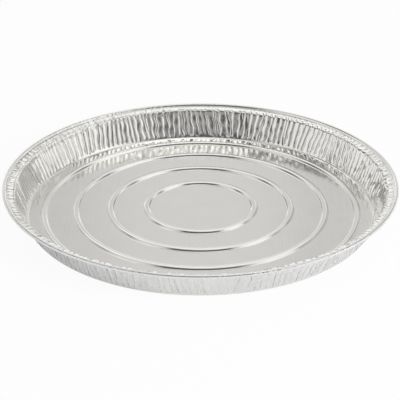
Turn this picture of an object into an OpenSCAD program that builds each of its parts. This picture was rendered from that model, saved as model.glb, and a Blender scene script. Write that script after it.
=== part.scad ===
// Round foil pie tin, pressed from one blank of thin aluminium.
// Z = 0 is the underside of the flat base, and the Z axis runs up through its centre.

/* [Foil] */
// Thickness of the foil
foil_t = 0.1; // [0.08:0.01:0.2]

/* [Rim] */
// Diameter across the rolled edge, the widest part of the tin
rim_d = 280; // [272:1:300]
// Height from the table to the top of the rolled edge
tin_h = 24; // [18:0.5:34]
// Outside diameter of the rolled edge's section
roll_d = 2.7; // [2:0.1:3.4]
// How far round the edge is rolled, in degrees
roll_turn = 315; // [225:45:315]
// Radius of the bend that lifts the rim into the roll
roll_bend_r = 0.5; // [0.3:0.1:0.8]
// Width of the crimped rim between the wall and the roll
flange_w = 4.9; // [3:0.1:8]
// How much the rim rises over that width
flange_rise = 1.4; // [0.4:0.1:2.4]
// How far the rim's radial crimps stand up and down beside the roll
crimp_h = 0.18; // [0:0.02:0.3]

/* [Wall] */
// Diameter of the base, where the lines of the wall and the base meet
foot_d = 247; // [238:1:250]
// Radius of the bend between the base and the wall
foot_bend_r = 1.2; // [0.8:0.1:2.5]
// Number of pleats gathered round the wall
pleats = 150; // [120:2:168]
// How far the ridges of the pleats stand in from the wall's line
ridge_in = 0.6; // [0.2:0.1:0.9]
// How far the creases between the ridges stand out from it
crease_out = 0.6; // [0.2:0.1:0.9]
// Share by which the depth of a pleat may differ from its mean
depth_vary = 0.4; // [0:0.05:0.6]
// How far a crease may wander sideways on its way up, in pitches
crease_wander = 0.15; // [0:0.01:0.2]
// How far whole groups of creases lean, in pitches
crease_lean = 0.7; // [0:0.1:1.5]

/* [Base rings] */
// Diameter of the innermost ring
ring_1_d = 77.5; // [60:0.5:95]
// Diameter of the second ring
ring_2_d = 129.5; // [110:0.5:145]
// Diameter of the third ring
ring_3_d = 179; // [160:0.5:195]
// Diameter of the outermost ring
ring_4_d = 224.5; // [208:0.5:228]
// Width of a ring's section
ring_w = 4.8; // [3:0.1:6]
// Height that a ring stands up from the base
ring_h = 0.9; // [0.4:0.1:1.6]

/* [Hidden] */

foil_grey = [0.80, 0.80, 0.79];
seed = 11; // picks one set of irregular pleats
ring_sides = [32, 44, 56, 64]; // straight sides of each base ring, from the inside out
roll_sides = 64; // straight sides of the rolled edge, seen from above
roll_step = 45; // degrees between the folds of the rolled edge's section
ring_shoulder = 0.29; // how far out from its crown a ring's shoulder lies, as a share of its width
shoulder_rise = 0.9; // height of that shoulder, as a share of the ring's
pleat_start = 2.5; // distance up the wall at which the pleats reach their full depth
top_depth = 0.75; // share of that depth left where the wall turns into the rim
lean_waves = [5, 13]; // how many times the lean of the creases changes round the tin

// The rolled edge's centre, and the end of the rim that leads into it
roll_r = roll_d / 2;
roll_under = roll_r - foil_t / cos(roll_step / 2);
roll_c = [rim_d / 2 - roll_r, tin_h - roll_r];
rim_end = roll_c - [roll_r + roll_bend_r, roll_bend_r];

// The wall's line, from the sharp corner at the foot up to the rim
foot_r = foot_d / 2;
wall_top = rim_end - [flange_w, flange_rise];
wall_lean = atan2(wall_top.x - foot_r, wall_top.y);
wall_len = norm(wall_top - [foot_r, 0]);
foot_turn = 90 - wall_lean;
foot_tangent = foot_bend_r * tan(foot_turn / 2);
bend_c = [foot_r - foot_tangent, foot_bend_r];

function polar(r, a) = r * [cos(a), sin(a)];
function up_wall(s) = [foot_r, 0] + s * [sin(wall_lean), cos(wall_lean)];

// Stations of the section, from the centre of the base to the end of the roll.
// Each is a point of the foil's underside, the number of points round the tin
// and, where the foil is pleated, the share of its full depth that a pleat has there.
function ring_stations(r, sides) =
    [for (p = [[-0.5, 0], [-ring_shoulder, shoulder_rise], [0, 1], [ring_shoulder, shoulder_rise], [0.5, 0]])
        [[r + p.x * ring_w, p.y * ring_h], sides, 0]];

base_stations = concat(
    [[[0, 0], 1, 0]],
    ring_stations(ring_1_d / 2, ring_sides[0]),
    ring_stations(ring_2_d / 2, ring_sides[1]),
    ring_stations(ring_3_d / 2, ring_sides[2]),
    ring_stations(ring_4_d / 2, ring_sides[3])
);

wall_stations = [
    [[foot_r - foot_tangent, 0], pleats / 2, 0],
    [bend_c + polar(foot_bend_r, foot_turn / 2 - 90), pleats, 0],
    [up_wall(pleat_start), 2 * pleats, 1],
    [up_wall((pleat_start + wall_len) / 2), 2 * pleats, 1],
    [wall_top, 2 * pleats, top_depth]
];

rim_stations = concat(
    [[rim_end - [roll_bend_r, 0], 2 * pleats, crimp_h / ridge_in]],
    [for (a = [180 : -roll_step : 180 - roll_turn]) [roll_c + polar(roll_under, a), roll_sides, 0]]
);

stations = concat(base_stations, wall_stations, rim_stations);
last = len(stations) - 1;

// Which way the topside lies from the underside at a station, with the length of a mitre
function left_of(v) = [-v.y, v.x] / norm(v);
function side(i) = left_of(stations[i + 1][0] - stations[i][0]);
function mitre(i) =
    let (before = side(max(i - 1, 0)), after = side(min(i, last - 1)))
    (before + after) / (1 + before * after);

// Random shares from -1 to 1 for every crease and ridge of a station
function random(i) = rands(-1, 1, 2 * pleats, seed + i);

// How far the creases lean at a height, in pitches: slow waves round the tin
function lean(a, z) = crease_lean / 2 * z / tin_h * (sin(lean_waves[0] * a) + sin(lean_waves[1] * a + 40));

// The points of one face of the foil at a station
function plain_points(i, lift) =
    let (n = stations[i][1], p = stations[i][0] + lift * mitre(i))
    [for (k = [0 : n - 1]) let (a = 360 * k / n) [p.x * cos(a), p.x * sin(a), p.y]];

function pleated_points(i, lift) =
    let (depths = random(i), shifts = random(i + 100), z = stations[i][0].y)
    [for (k = [0 : 2 * pleats - 1])
        let (
            even_a = 180 * k / pleats,
            a = even_a + 360 / pleats * (lean(even_a, z) + crease_wander * shifts[k]),
            depth = stations[i][2] * (1 + depth_vary * depths[k]) * (k % 2 == 0 ? -crease_out : ridge_in),
            p = stations[i][0] + (lift + depth) * mitre(i)
        )
        [p.x * cos(a), p.x * sin(a), p.y]];

function points_at(i, lift) = stations[i][2] > 0 ? pleated_points(i, lift) : plain_points(i, lift);

// Triangles between two rings of points, which may have different numbers of them.
// Each side of one ring meets the point of the other that lies beside its middle.
function band(a, na, b, nb) = concat(
    [for (i = [0 : na - 1]) if (na > 1)
        let (k = ceil(((2 * i + 1) * nb - na) / (2 * na)))
        [a + i, b + k % nb, a + (i + 1) % na]],
    [for (j = [0 : nb - 1]) if (nb > 1)
        let (k = floor(((2 * j + 1) * na + nb) / (2 * nb)))
        [b + j, b + (j + 1) % nb, a + k % na]]
);

// The whole sheet: its underside, its topside a foil's thickness away, and the cut edge inside the roll
module foil_tin() {
    counts = [for (s = stations) s[1]];
    starts = [for (i = 0, n = 0; i <= last; n = n + counts[i], i = i + 1) n];
    side_points = starts[last] + counts[last];
    underside = [for (i = [0 : last - 1]) each band(starts[i], counts[i], starts[i + 1], counts[i + 1])];
    topside = [for (f = underside) [f[0], f[2], f[1]] + side_points * [1, 1, 1]];
    cut_edge = band(starts[last], counts[last], side_points + starts[last], counts[last]);
    color(foil_grey)
        polyhedron(
            points = [for (lift = [0, foil_t], i = [0 : last]) each points_at(i, lift)],
            faces = concat(underside, topside, cut_edge)
        );
}

foil_tin();
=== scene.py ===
import math
import random

import bmesh
import bpy
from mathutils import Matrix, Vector, noise


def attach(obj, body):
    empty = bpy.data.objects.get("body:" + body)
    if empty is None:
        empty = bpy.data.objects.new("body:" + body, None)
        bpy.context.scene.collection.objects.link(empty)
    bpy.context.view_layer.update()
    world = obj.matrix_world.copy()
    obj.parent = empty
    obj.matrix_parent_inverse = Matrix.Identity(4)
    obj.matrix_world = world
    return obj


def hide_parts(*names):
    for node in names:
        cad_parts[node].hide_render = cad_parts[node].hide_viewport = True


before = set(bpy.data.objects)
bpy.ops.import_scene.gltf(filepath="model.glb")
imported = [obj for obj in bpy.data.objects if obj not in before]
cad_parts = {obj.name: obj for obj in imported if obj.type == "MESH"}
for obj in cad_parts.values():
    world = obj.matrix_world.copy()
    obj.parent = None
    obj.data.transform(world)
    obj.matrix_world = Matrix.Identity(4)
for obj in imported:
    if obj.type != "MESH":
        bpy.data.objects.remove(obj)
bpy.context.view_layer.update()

# The camera looks down at the tin from the front, from the height and distance of the photograph.
# Its aim is a little above the middle of the base.
CAMERA_PITCH = math.radians(26.70)
CAMERA_DISTANCE = 0.8576
CAMERA_LENS = 106.9
CAMERA_AIM = (-0.00037, 0.00481)  # sideways, and along the camera's own up

camera = bpy.data.objects.new("camera", bpy.data.cameras.new("camera"))
bpy.context.scene.collection.objects.link(camera)
bpy.context.scene.camera = camera
camera.data.lens = CAMERA_LENS
camera.data.sensor_width = 36
camera.data.clip_start = 0.01
camera.data.clip_end = 20
camera_up = Vector((0, math.sin(CAMERA_PITCH), math.cos(CAMERA_PITCH)))
camera_back = Vector((0, -math.cos(CAMERA_PITCH), math.sin(CAMERA_PITCH)))
camera_aim = Vector((CAMERA_AIM[0], 0, 0)) + CAMERA_AIM[1] * camera_up
camera.location = camera_aim + CAMERA_DISTANCE * camera_back
camera.rotation_mode = "QUATERNION"
camera.rotation_quaternion = camera_back.to_track_quat("Z", "Y")


# The studio: a white table in a white room that is dim on the camera's side, with soft panels round the
# other three sides and overhead. They light the tin, and a lamp on the right lights only the table,
# which the outer face of the wall mirrors. Seen from below, the table isn't there.
FLOOR_SIZE = 8.0
FLOOR_DROP = 0.00005  # keeps it a hair clear of the tin's underside
FLOOR_WHITE = (0.86, 0.86, 0.86, 1)
PLAIN_WHITE = (1, 1, 1, 1)
SHADE_SEEN = 0.06  # share of the floor's own light and shade that the camera sees
SHADE_MIRRORED = 0.7  # and the share that the metal mirrors
ROOM_DIM_LEFT, ROOM_DIM_RIGHT = 0.08, 0.13
LAMP_PLACE = (1.1, -0.7, 0.5)
LAMP_SIZE = 0.5
LAMP_WATTS = 15.0


def add_node(tree, kind, **values):
    """A shader node with its settings, and with the numbers or colours of its named inputs."""
    made = tree.nodes.new(kind)
    for name, value in values.items():
        if hasattr(made, name):
            setattr(made, name, value)
        else:
            made.inputs[name.replace("_", " ")].default_value = value
    return made


def feed(target, source):
    """Gives an input a plain number or colour, or joins it to another node's output."""
    if isinstance(source, (int, float, tuple)):
        target.default_value = source
    else:
        tree.links.new(source, target)


def mixed(share, first, second):
    """A mix of two shaders, with that share of the second."""
    made = add_node(tree, "ShaderNodeMixShader")
    for target, source in zip(made.inputs, (share, first, second)):
        feed(target, source)
    return made.outputs[0]


def combine(operation, first, second):
    made = add_node(tree, "ShaderNodeMath", operation=operation)
    for target, source in zip(made.inputs, (first, second)):
        feed(target, source)
    return made.outputs[0]


floor_mesh = bmesh.new()
bmesh.ops.create_grid(floor_mesh, x_segments=1, y_segments=1, size=FLOOR_SIZE / 2)
bmesh.ops.translate(floor_mesh, verts=floor_mesh.verts[:], vec=(0, 0, -FLOOR_DROP))
floor_data = bpy.data.meshes.new("floor")
floor_mesh.to_mesh(floor_data)
floor_mesh.free()
floor = bpy.data.objects.new("floor", floor_data)
bpy.context.scene.collection.objects.link(floor)

floor_white = bpy.data.materials.new("floor_white")
floor_white.use_nodes = True
tree = floor_white.node_tree
tree.nodes.clear()
path = add_node(tree, "ShaderNodeLightPath")
lit = add_node(tree, "ShaderNodeBsdfDiffuse", Color=FLOOR_WHITE).outputs[0]
shown = add_node(tree, "ShaderNodeEmission", Color=PLAIN_WHITE, Strength=1.0).outputs[0]
clear = add_node(tree, "ShaderNodeBsdfTransparent").outputs[0]
from_below = add_node(tree, "ShaderNodeNewGeometry").outputs["Backfacing"]
surface = mixed(path.outputs["Is Glossy Ray"], lit, mixed(SHADE_MIRRORED, shown, lit))
surface = mixed(path.outputs["Is Camera Ray"], surface, mixed(SHADE_SEEN, shown, lit))
surface = mixed(from_below, surface, clear)
tree.links.new(surface, add_node(tree, "ShaderNodeOutputMaterial").inputs["Surface"])
floor_data.materials.append(floor_white)

room = bpy.data.worlds.new("room")
bpy.context.scene.world = room
room.use_nodes = True
tree = room.node_tree
tree.nodes.clear()
direction = add_node(tree, "ShaderNodeSeparateXYZ")
tree.links.new(add_node(tree, "ShaderNodeTexCoord").outputs["Generated"], direction.inputs[0])


def fade(axis, start, end, low, high):
    """A level that runs smoothly from low to high as one part of the direction runs from start to end."""
    made = add_node(tree, "ShaderNodeMapRange", interpolation_type="SMOOTHSTEP",
                    From_Min=start, From_Max=end, To_Min=low, To_Max=high)
    tree.links.new(direction.outputs[axis], made.inputs["Value"])
    return made.outputs[0]


def panel(*fades):
    """The light of one panel: its fades multiplied together."""
    light = fade(*fades[0])
    for more in fades[1:]:
        light = combine("MULTIPLY", light, fade(*more))
    return light


# each fade is an axis, where it starts and ends along it, and the level at each
panels = (
    # the wall behind the tin, paler low down and high up, in soft upright bands on each side of the middle
    panel(("Y", 0.3, 0.48, 0, 1), ("Z", 0.15, 0.42, 1.02, 0.65), ("Z", 0.52, 0.62, 1, 1.4),
          ("X", -0.03, -0.14, 1, 0.85), ("X", -0.14, -0.22, 1, 1.35), ("X", -0.36, -0.46, 1, 0.45),
          ("X", 0.03, 0.13, 1, 0.87), ("X", 0.13, 0.18, 1, 1.3), ("X", 0.25, 0.36, 1, 0.5),
          ("X", 0.65, 0.85, 1, 2)),
    # the top of that wall
    panel(("Y", 0.25, 0.4, 0, 1), ("Z", 0.66, 0.8, 0, 1)),
    # a low white wall all round
    panel(("Z", 0.42, 0.3, 0, 0.82), ("Y", -0.85, -0.53, 0.4, 1)),
    # overhead, towards the front
    panel(("Z", 0.83, 0.92, 0, 1), ("Y", 0.3, 0, 0, 1), ("X", -0.4, 0.4, 0.85, 1.4)),
    # on the right
    panel(("X", 0.38, 0.6, 0, 1), ("Y", 0.25, 0, 0, 1), ("Y", -0.65, -0.4, 0.4, 1)),
    # on the left
    panel(("X", -0.38, -0.6, 0, 1), ("Y", 0.15, -0.15, 0, 0.7), ("Y", -0.7, -0.5, 0.5, 1)),
)
room_light = fade("X", -1, 1, ROOM_DIM_LEFT, ROOM_DIM_RIGHT)
for light in panels:
    room_light = combine("MAXIMUM", room_light, light)
lighting = add_node(tree, "ShaderNodeBackground", Color=PLAIN_WHITE)
tree.links.new(room_light, lighting.inputs["Strength"])
backdrop = add_node(tree, "ShaderNodeBackground", Color=PLAIN_WHITE, Strength=1.0)
path = add_node(tree, "ShaderNodeLightPath")
surface = mixed(path.outputs["Is Camera Ray"], lighting.outputs[0], backdrop.outputs[0])
tree.links.new(surface, add_node(tree, "ShaderNodeOutputWorld").inputs["Surface"])

lamp = bpy.data.objects.new("lamp_right", bpy.data.lights.new("lamp_right", "AREA"))
bpy.context.scene.collection.objects.link(lamp)
lamp.data.size = LAMP_SIZE
lamp.data.energy = LAMP_WATTS
lamp.location = LAMP_PLACE
lamp.rotation_mode = "QUATERNION"
lamp.rotation_quaternion = Vector(LAMP_PLACE).to_track_quat("Z", "Y")
lamp.visible_glossy = False  # the metal doesn't mirror it


# The tin: one round blank of soft aluminium foil, a tenth of a millimetre thick, pressed in one stroke.
# The press gathers the wall into pleats, runs them out over the rim, raises the rings in the base
# and rolls the edge over on itself. Its lengths are in millimetres, and its turns in degrees.
MM = 0.001
MERGED = 0.002 * MM  # points nearer than this are one
FOIL = 0.1
RIM_R = 140.0
TIN_H = 24.0
ROLL_R = 1.35
ROLL_BEND = 0.5
ROLL_TURN, ROLL_STEP = 315, 21
ROLL_SIDES = 200
FLANGE = (4.9, 1.4)  # width and rise
FLANGE_ROWS = (0.35, 0.55, 0.75, 0.95)  # shares of that width
CORNER_BEND = 2.0  # where the wall turns into the rim
CORNER_STEPS = 3
CORNER_ARC = 1.8  # length of that bend, in its tangents
WALL_ROWS = (1.0, 1.3, 1.65, 2.1, 2.8, 4.2, 6.2, 8.3, 10.4, 12.6, 14.8, 16.8, 18.8, 20.4)  # distances up the wall
FOOT_R = 123.5
FOOT_BEND = 1.3
FOOT_STEPS = 4
BASE_SIDES = 160
BASE_MIDDLE = 18  # radius of the flat middle
RINGS = (38.8, 64.78, 89.57, 112.3)
# run and slope of each part of a ring's section, from its crown down, and the flat strip beside it
RING_SECTION = ((0.6, 4), (0.6, 10), (0.5, 16), (0.12, 38), (0.28, 59), (0.28, 59), (0.18, 30))
RING_EDGE = 0.15
FLAT_EDGE = 0.2  # the same strip, where the base meets the foot's bend
RIM_EDGE = 0.02  # and where the rim meets the bend up into the roll
ROLL_BEND_TURNS = (-60, -30, 0)

PLEATS = 188
RIDGE = 0.95  # from the creases to the crest of a ridge
RIDGE_SPREAD = 0.6  # width at which a ridge comes near its full height, in pitches
CREASE_OUT = 0.7
PLEAT_START = 0.8  # distance up the wall at which the pleats begin
PLEAT_GROWTH = 2.4  # and how much further up they reach their full depth
ACROSS = (0, 0.1, 0.32, 0.68, 0.9)  # columns from one crease to the next
LEAN_WAVES = ((0.6, 5, 0), (0.45, 13, 0.7))  # how far groups of creases lean, in pitches; waves round the tin; phase
FOOT_WANDER, TOP_WANDER, SWAY = 0.16, 0.24, 0.15  # how far one crease strays, in pitches
SHORT_CREASES = 0.28  # share of the ridges that a short crease opens in
SHORT_UPWARD = 0.75  # and how many of those open upwards
SHORT_GROWTH = 0.45  # share of the wall's height in which one opens
SHORT_CLOSED = 0.04  # how near its neighbour it lies until then, as a share of the ridge
SWELL, CREST_STRAY = 0.5, 0.17  # how much a ridge swells, and its crest strays, on the way up
RIM_FADE, RIM_FADE_PACE = 0.8, 1.5  # share of the pleats' depth lost over the rim, and how early
CRIMP, CRIMP_PACE = 0.1, 3  # height of the rim's own fine crimps, and how early they begin

# the pleats on the left are deeper and more even, and keep more depth on the rim; at the back left they are shallower
LEFT_EVEN, LEFT_DEEPER, LEFT_RIM, LEFT_CRIMP = 0.85, 0.1, 0.65, 0.13
BACK_LEFT = math.radians(125)
BACK_LEFT_SHALLOWER = 0.3

rng = random.Random(5)


def smooth(t):
    t = min(max(t, 0.0), 1.0)
    return t * t * (3 - 2 * t)


def polar(centre, radius, degrees):
    a = math.radians(degrees)
    return (centre[0] + radius * math.cos(a), centre[1] + radius * math.sin(a))


# Section of the sheet's middle, as points (radius, height). First the base, from the centre outwards.
half_foil = FOIL / 2
base_line = [(0, half_foil), (BASE_MIDDLE, half_foil)]
for ring in RINGS:
    flank, out, drop = [(0.0, 0.0)], 0.0, 0.0
    for run, fall in RING_SECTION:
        out += run
        drop += run * math.tan(math.radians(fall))
        flank.append((out, drop))
    flank.append((out + RING_EDGE, drop))
    base_line += [(ring - r, half_foil + drop - z) for r, z in reversed(flank)]
    base_line += [(ring + r, half_foil + drop - z) for r, z in flank[1:]]

roll_c = (RIM_R - ROLL_R, TIN_H - ROLL_R)
rim_end = (roll_c[0] - ROLL_R - ROLL_BEND, roll_c[1] - ROLL_BEND)
wall_top = (rim_end[0] - FLANGE[0], rim_end[1] - FLANGE[1])
lean = math.atan2(wall_top[0] - FOOT_R, wall_top[1])
wall_length = math.hypot(wall_top[0] - FOOT_R, wall_top[1])
flange_length = math.hypot(*FLANGE)
slope = math.atan2(FLANGE[1], FLANGE[0])
foot_turn = math.pi / 2 - lean
foot_tangent = FOOT_BEND * math.tan(foot_turn / 2)
corner_turn = math.pi / 2 - lean - slope
corner_tangent = CORNER_BEND * math.tan(corner_turn / 2)


def up_wall(s):
    return (FOOT_R + s * math.sin(lean), s * math.cos(lean))


def along_rim(s):
    return (wall_top[0] + s * math.cos(slope), wall_top[1] + s * math.sin(slope))


# then the pleated part, as rows of (point of the underside, length along the sheet from the foot)
foot_c = (FOOT_R - foot_tangent, FOOT_BEND)
rows = [((foot_c[0] - FLAT_EDGE, 0), 0)]
for step in range(FOOT_STEPS + 1):
    a = math.degrees(foot_turn) * step / FOOT_STEPS - 90
    rows.append((polar(foot_c, FOOT_BEND, a), foot_tangent * step / FOOT_STEPS))
for s in WALL_ROWS:
    rows.append((up_wall(s), s))
wall_end = up_wall(wall_length - corner_tangent)
corner_c = (wall_end[0] + CORNER_BEND * math.cos(lean), wall_end[1] - CORNER_BEND * math.sin(lean))
for step in range(CORNER_STEPS + 1):
    a = 180 - math.degrees(lean) - math.degrees(corner_turn) * step / CORNER_STEPS
    s = wall_length + CORNER_ARC * corner_tangent * (step / CORNER_STEPS - 0.5)
    rows.append((polar(corner_c, CORNER_BEND, a), s))
for share in FLANGE_ROWS:
    rows.append((along_rim(flange_length * share), wall_length + flange_length * share))
row_points = [point for point, s in rows]

# and last the bend up into the roll, and the roll
roll_line = [(rim_end[0] - RIM_EDGE, rim_end[1])]
for a in ROLL_BEND_TURNS:
    roll_line.append(polar((rim_end[0], rim_end[1] + ROLL_BEND), ROLL_BEND - half_foil, a))
for step in range(1, ROLL_TURN // ROLL_STEP + 1):
    roll_line.append(polar(roll_c, ROLL_R - half_foil, 180 - ROLL_STEP * step))


def inward(row):
    """Unit normal of the pleated section at a row, towards the inside of the tin."""
    a, b = row_points[max(row - 1, 0)], row_points[min(row + 1, len(rows) - 1)]
    d = math.hypot(b[0] - a[0], b[1] - a[1])
    return (-(b[1] - a[1]) / d, (b[0] - a[0]) / d)


def round_tin(pitches):
    return 2 * math.pi / PLEATS * pitches


def on_left(angle):
    """How much of the left side's manner the pleats have at an angle, from 0 to 1."""
    return max(0.0, -math.cos(angle)) ** 3


# The creases, in pitches round the tin. A main crease runs from the foot over the rim.
# A short one opens out of its neighbour part of the way up, or part of the way down.
creases = []
for k in range(PLEATS):
    leaning = sum(pitches * math.sin(waves * round_tin(k) + phase) for pitches, waves, phase in LEAN_WAVES)
    stray = 1 - LEFT_EVEN * on_left(round_tin(k))
    creases.append({
        "main": True,
        "foot": k + stray * rng.uniform(-FOOT_WANDER, FOOT_WANDER),
        "top": k + leaning + stray * rng.uniform(-TOP_WANDER, TOP_WANDER),
        "sway": stray * rng.uniform(-SWAY, SWAY), "phase": rng.uniform(0, 6.28),
        "out": rng.uniform(0.8, 1.2), "ridge": rng.uniform(0.8, 1.2), "crest": rng.uniform(0.42, 0.58),
        "start": rng.uniform(-0.1, 0.5),
    })
    if rng.random() < SHORT_CREASES:
        creases.append({
            "main": False, "opens": rng.uniform(-0.3, 0.65), "upward": rng.random() < SHORT_UPWARD,
            "share": rng.uniform(0.38, 0.62), "out": rng.uniform(0.3, 0.9),
            "ridge": rng.uniform(0.7, 1.15), "crest": rng.uniform(0.42, 0.58), "start": 0,
        })
mains = [crease for crease in creases if crease["main"]]


def main_at(k, v):
    """Place of main crease number k (it may run past the last one) at height share v."""
    n = k % PLEATS
    crease = mains[n]
    sway = crease["sway"] * math.sin(4 * math.pi * v + crease["phase"])
    return crease["foot"] + (crease["top"] - crease["foot"]) * v + sway + (k - n)


def crease_places(v):
    """Places of all the creases at height share v, in order round the tin."""
    found, k = [], -1
    for crease in creases:
        if crease["main"]:
            k += 1
            found.append(main_at(k, v))
        else:
            a, b = main_at(k, v), main_at(k + 1, v)
            run = v if crease["upward"] else 1 - v
            opened = smooth((run - crease["opens"]) / SHORT_GROWTH)
            found.append(a + (b - a) * (SHORT_CLOSED + (crease["share"] - SHORT_CLOSED) * opened))
    return found + [found[0] + PLEATS]


columns = len(creases) * len(ACROSS)
TUBE_RISE = 0.3 * TIN_H
FIRST_WALL_ROW, FIRST_ROLL_ROW = 1000, 2000

sheet = bmesh.new()
row_layer = sheet.verts.layers.int.new("row")
column_layer = sheet.verts.layers.int.new("column")


def spin_line(line, sides, first_row):
    """Spins a section line of (radius, height) points right round, with its rows numbered from the first."""
    made = [sheet.verts.new((r * MM, 0, z * MM)) for r, z in line]
    for number, vert in enumerate(made):
        vert[row_layer] = first_row + number
    edges = [sheet.edges.new(pair) for pair in zip(made, made[1:])]
    bmesh.ops.spin(sheet, geom=made + edges, cent=(0, 0, 0), axis=(0, 0, 1), dvec=(0, 0, 0),
                   angle=2 * math.pi, steps=sides, use_merge=True, use_duplicate=False)


def loop_at(row):
    """The edges that run round the tin through the vertices of one row."""
    return [edge for edge in sheet.edges if all(vert[row_layer] == row for vert in edge.verts)]


# a plain tube of the wall's rows and columns, joined to the base below it and the roll above it
spin_line(base_line, BASE_SIDES, 0)
spin_line(roll_line, ROLL_SIDES, FIRST_ROLL_ROW)
tube = bmesh.ops.create_grid(sheet, x_segments=columns, y_segments=len(rows) - 1, size=0.5)["verts"]
for vert in tube:
    row = round((vert.co.y + 0.5) * (len(rows) - 1))
    column = round((vert.co.x + 0.5) * columns) % columns
    angle = 2 * math.pi * column / columns
    vert[row_layer] = FIRST_WALL_ROW + row
    vert[column_layer] = column
    r = row_points[row][0] * MM
    vert.co = (r * math.cos(angle), r * math.sin(angle), (1 + row / len(rows)) * TUBE_RISE * MM)
bmesh.ops.remove_doubles(sheet, verts=tube, dist=MERGED)
bmesh.ops.bridge_loops(sheet, edges=loop_at(len(base_line) - 1) + loop_at(FIRST_WALL_ROW))
bmesh.ops.bridge_loops(sheet, edges=loop_at(FIRST_WALL_ROW + len(rows) - 1) + loop_at(FIRST_ROLL_ROW))


def pressed_row(row):
    """Where the press moves a row's vertices to, column by column."""
    point, s = rows[row]
    normal = inward(row)
    past_corner = max(s - wall_length, 0.0) / flange_length
    places = crease_places(min(s / wall_length, 1.0))
    moved = []
    for k, crease in enumerate(creases):
        after = creases[(k + 1) % len(creases)]
        a, b = places[k], places[k + 1]
        stray = 1 - LEFT_EVEN * on_left(round_tin(a))
        swell = SWELL * stray * noise.noise((k * 5.3, s / 3.2, 0))
        crest = crease["crest"] + CREST_STRAY * stray * noise.noise((k * 5.3, s / 4, 9))
        height = RIDGE * crease["ridge"] * (1 - math.exp(-(max(b - a, 0.0) / RIDGE_SPREAD) ** 2)) * (1 + swell)
        height *= smooth((s - PLEAT_START - (crease["start"] + after["start"]) / 2) / PLEAT_GROWTH)
        here, there = (c["out"] * smooth((s - PLEAT_START - c["start"]) / PLEAT_GROWTH) for c in (crease, after))
        for u in ACROSS:
            angle = round_tin(a + (b - a) * u)
            left = on_left(angle)
            back_left = max(0.0, math.cos(angle - BACK_LEFT)) ** 4
            skew = u ** (math.log(0.5) / math.log(crest)) if u > 0 else 0.0
            arch = 1 - abs(2 * skew - 1) ** 3
            depth = height * arch - CREASE_OUT * (here * (1 - u) + there * u)
            depth *= (1 + LEFT_DEEPER * left - BACK_LEFT_SHALLOWER * back_left
                      - (RIM_FADE - LEFT_RIM * left) * smooth(past_corner * RIM_FADE_PACE))
            crimp = (CRIMP + LEFT_CRIMP * left) * math.sin(4 * math.pi * u) * smooth(past_corner * CRIMP_PACE)
            push = depth + crimp + half_foil
            r, z = point[0] + normal[0] * push, point[1] + normal[1] * push
            moved.append((r * math.cos(angle) * MM, r * math.sin(angle) * MM, z * MM))
    return moved


# the press gathers the tube into pleats
pressed = [pressed_row(row) for row in range(len(rows))]
for vert in sheet.verts:
    if FIRST_WALL_ROW <= vert[row_layer] < FIRST_ROLL_ROW:
        vert.co = pressed[vert[row_layer] - FIRST_WALL_ROW][vert[column_layer]]
bmesh.ops.remove_doubles(sheet, verts=sheet.verts[:], dist=MERGED)
bmesh.ops.recalc_face_normals(sheet, faces=sheet.faces[:])
for face in sheet.faces:
    face.smooth = True
level_faces = [face for face in sheet.faces if abs(face.normal.z) > 0.9]
if max(level_faces, key=lambda face: face.calc_area()).normal.z < 0:
    bmesh.ops.reverse_faces(sheet, faces=sheet.faces[:])

foil_data = bpy.data.meshes.new("foil_sheet")
sheet.to_mesh(foil_data)
sheet.free()
foil = bpy.data.objects.new("foil_sheet", foil_data)
bpy.context.scene.collection.objects.link(foil)
thickness = foil.modifiers.new("thickness", "SOLIDIFY")
thickness.thickness = FOIL * MM
thickness.offset = 0

# Bright foil. The inside, which the punch polished, is nearly a mirror, and the outer face of the wall is duller.
INNER_TINTS = (0.94, 0.927, 0.897, 1), (0.96, 0.949, 0.922, 1)
OUTER_TINTS = (0.9, 0.905, 0.9, 1), (0.985, 0.985, 0.98, 1)
WALL_BEGINS = 0.1235, 0.1255  # from one radius to the other, in metres
RIM_BEGINS = 0.1305, 0.132
GRAIN_RANGE = 0.3, 0.7  # where most of a grain's values lie
WRINKLES_ROUND, WRINKLES_UP = 70, 90  # how close they lie round the wall, per radian, and up it, per metre
WRINKLE_DEPTH = 0.00006
DENT_SIZE, DENT_DEPTH = 0.5, 0.0009  # against a wrinkle's closeness, and in metres
ROLLED_LINES, ROLLED_DEPTH = (1000, 14, 0), 0.00005
TARNISH = 60.0

foil_grey = bpy.data.materials.new("foil_grey")
foil_grey.use_nodes = True
tree = foil_grey.node_tree
metal = tree.nodes["Principled BSDF"]
metal.inputs["Metallic"].default_value = 1.0
place = add_node(tree, "ShaderNodeTexCoord").outputs["Object"]


def vector_math(operation, first, second=None, output="Vector"):
    """A vector worked out from others, each of them three numbers or another node's output."""
    made = add_node(tree, "ShaderNodeVectorMath", operation=operation)
    for target, source in zip(made.inputs, (first, second)):
        if source is not None:
            feed(target, source)
    return made.outputs[output]


def grain(vector, scale, detail):
    made = add_node(tree, "ShaderNodeTexNoise", Scale=scale, Detail=detail)
    tree.links.new(vector, made.inputs["Vector"])
    return made.outputs["Fac"]


def ramp(value, start, end, low, high):
    made = add_node(tree, "ShaderNodeMapRange", From_Min=start, From_Max=end, To_Min=low, To_Max=high)
    tree.links.new(value, made.inputs["Value"])
    return made.outputs[0]


def bump(height, distance, under=None):
    """Relief of a height in metres, on top of the relief under it."""
    made = add_node(tree, "ShaderNodeBump", Strength=1.0, Distance=distance)
    tree.links.new(height, made.inputs["Height"])
    if under is not None:
        tree.links.new(under, made.inputs["Normal"])
    return made.outputs[0]


def blend(share, first, second, colours=False):
    """A mix of two numbers or two colours, with that share of the second."""
    made = add_node(tree, "ShaderNodeMix", data_type="RGBA" if colours else "FLOAT")
    for number, source in zip((0, 6, 7) if colours else (0, 2, 3), (share, first, second)):
        feed(made.inputs[number], source)
    return made.outputs[2 if colours else 0]


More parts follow.
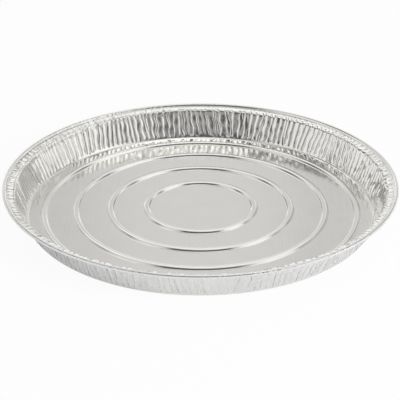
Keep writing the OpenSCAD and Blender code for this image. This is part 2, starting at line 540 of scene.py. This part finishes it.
flat_place = vector_math("MULTIPLY", place, (1, 1, 0))
outwards = vector_math("NORMALIZE", flat_place)
radius = vector_math("LENGTH", flat_place, output="Value")
in_wall = ramp(radius, *WALL_BEGINS, 0, 1)

# fine wrinkles run up the wall and out over the rim, beside and across the pleats, most of all at the back left
wrinkle_place = vector_math("ADD", vector_math("MULTIPLY", outwards, (WRINKLES_ROUND, WRINKLES_ROUND, 0)),
                            vector_math("MULTIPLY", place, (0, 0, WRINKLES_UP)))
back_left = vector_math("DOT_PRODUCT", outwards, (math.cos(BACK_LEFT), math.sin(BACK_LEFT), 0), output="Value")
wrinkled = combine("MULTIPLY", ramp(radius, *WALL_BEGINS, 0, 0.5), ramp(radius, *RIM_BEGINS, 1, 7))
wrinkled = combine("MULTIPLY", wrinkled, ramp(back_left, 0.6, 0.95, 0.5, 4))
relief = bump(combine("MULTIPLY", grain(wrinkle_place, 1.0, 1.0), wrinkled), WRINKLE_DEPTH)

# the outer face of the wall is softly dented and streaked
facing = add_node(tree, "ShaderNodeNewGeometry").outputs["True Normal"]
facing_out = ramp(vector_math("DOT_PRODUCT", facing, outwards, output="Value"), 0.3, 0.6, 0, 1)
outer = combine("MULTIPLY", facing_out, in_wall)
streaks = grain(wrinkle_place, DENT_SIZE, 2.0)
relief = bump(combine("MULTIPLY", streaks, outer), DENT_DEPTH, relief)

# the rolling mill leaves faint straight lines from front to back
rolled = grain(vector_math("MULTIPLY", place, ROLLED_LINES), 1.0, 2.0)
relief = bump(rolled, ROLLED_DEPTH, relief)
tree.links.new(relief, metal.inputs["Normal"])

# the shine is cloudy inside, softer where the back left is crumpled, and dull in streaks outside
tarnish = grain(place, TARNISH, 3.0)
crumpled = combine("MULTIPLY", in_wall, ramp(back_left, 0.55, 0.95, 0, 0.14))
inner_shine = combine("ADD", ramp(radius, 0.1225, 0.1245, 0.1, 0.06), ramp(tarnish, *GRAIN_RANGE, 0, 0.03))
inner_shine = combine("ADD", inner_shine, crumpled)
shine = blend(outer, inner_shine, ramp(streaks, *GRAIN_RANGE, 0.2, 0.5))
tree.links.new(shine, metal.inputs["Roughness"])

inner_tint = blend(ramp(tarnish, *GRAIN_RANGE, 0, 1), *INNER_TINTS, colours=True)
outer_tint = blend(ramp(streaks, *GRAIN_RANGE, 0, 1), *OUTER_TINTS, colours=True)
tree.links.new(blend(outer, inner_tint, outer_tint, colours=True), metal.inputs["Base Color"])

foil_data.materials.append(foil_grey)

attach(foil, "root")
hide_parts("foil_tin")

bpy.context.scene.view_settings.view_transform = "Standard"
bpy.context.view_layer.update()
